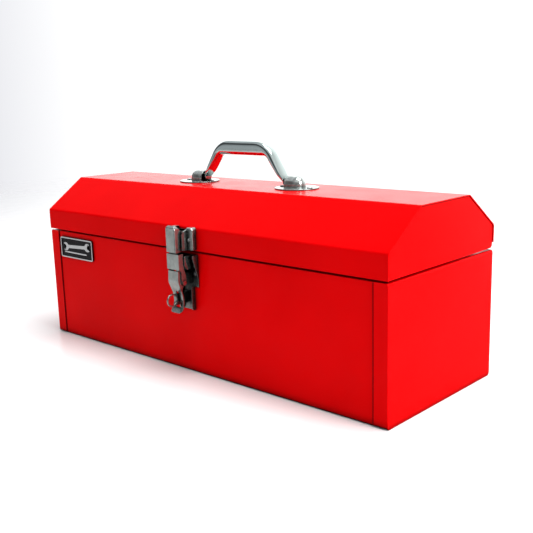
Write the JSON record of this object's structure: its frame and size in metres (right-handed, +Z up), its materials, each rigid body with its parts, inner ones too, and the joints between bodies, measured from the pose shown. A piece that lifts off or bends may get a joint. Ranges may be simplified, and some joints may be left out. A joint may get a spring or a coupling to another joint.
{
  "type": "toolbox with tray",
  "caption": "Steel hip-roof toolbox with hinged lid, folding top handle, front draw latch with padlock eye, and a lift-out tray.",
  "frame": {"origin": "centre of the flat underside of the body", "axes": "+X along the length towards the right end, -Y out of the front with the latch, +Z up"},
  "size_m": [0.4836, 0.209, 0.2303],
  "materials": {
    "red_enamel": "gloss enamel",
    "tray_enamel": "gloss enamel",
    "chrome": "bright plated steel",
    "zinc": "zinc plated steel",
    "badge_black": "gloss black",
    "badge_bright": "bright"
  },
  "bodies": {
    "box": {"body_shell": "red_enamel", "body_end_left": "red_enamel", "body_end_right": "red_enamel", "tray_ledge_left": "tray_enamel", "tray_ledge_right": "tray_enamel", "hinge_leaf_body": "zinc", "hinge_pin": "zinc", "latch_base": "chrome", "latch_eye": "chrome", "latch_base_rivets": "zinc", "latch_lever_pin": "zinc", "badge_frame": "badge_bright", "badge_field": "badge_black"},
    "lid": {"lid_shell": "red_enamel", "lid_end_left": "red_enamel", "lid_end_right": "red_enamel", "hinge_leaf_lid": "zinc", "handle_bracket_left": "chrome", "handle_bracket_right": "chrome", "handle_rivets": "zinc", "latch_strike": "chrome", "latch_strike_rivets": "zinc"},
    "bail": {"handle_bail": "chrome"},
    "lever": {"latch_lever": "chrome"},
    "arm": {"latch_arm": "chrome", "latch_arm_rivets": "zinc"},
    "tray": {"tray_pan": "tray_enamel", "tray_end_left": "tray_enamel", "tray_end_right": "tray_enamel", "tray_handle": "chrome", "tray_handle_rivets": "zinc"}
  },
  "joints": [
    {"name": "lid_hinge", "type": "hinge", "parent": "box", "child": "lid", "pos_m": [0, 0.0898, 0.1296], "axis": [-1, 0, 0], "range_deg": [0, 105]},
    {"name": "handle_fold", "type": "hinge", "parent": "lid", "child": "bail", "pos_m": [0, 0, 0.1908], "axis": [1, 0, 0], "range_deg": [-78, 78]},
    {"name": "latch_lever", "type": "hinge", "parent": "box", "child": "lever", "pos_m": [0, -0.1025, 0.1065], "axis": [-1, 0, 0], "range_deg": [0, 125]},
    {"name": "latch_arm", "type": "hinge", "parent": "lever", "child": "arm", "pos_m": [0, -0.1005, 0.097], "axis": [-1, 0, 0], "range_deg": [-140, 0]},
    {"name": "tray_lift", "type": "slide", "parent": "box", "child": "tray", "axis": [0, 0, 1], "range_m": [0, 0.028]}
  ],
  "couplings": [
    {"joint": "latch_arm", "follows": "latch_lever", "ratio": -1.12}
  ]
}
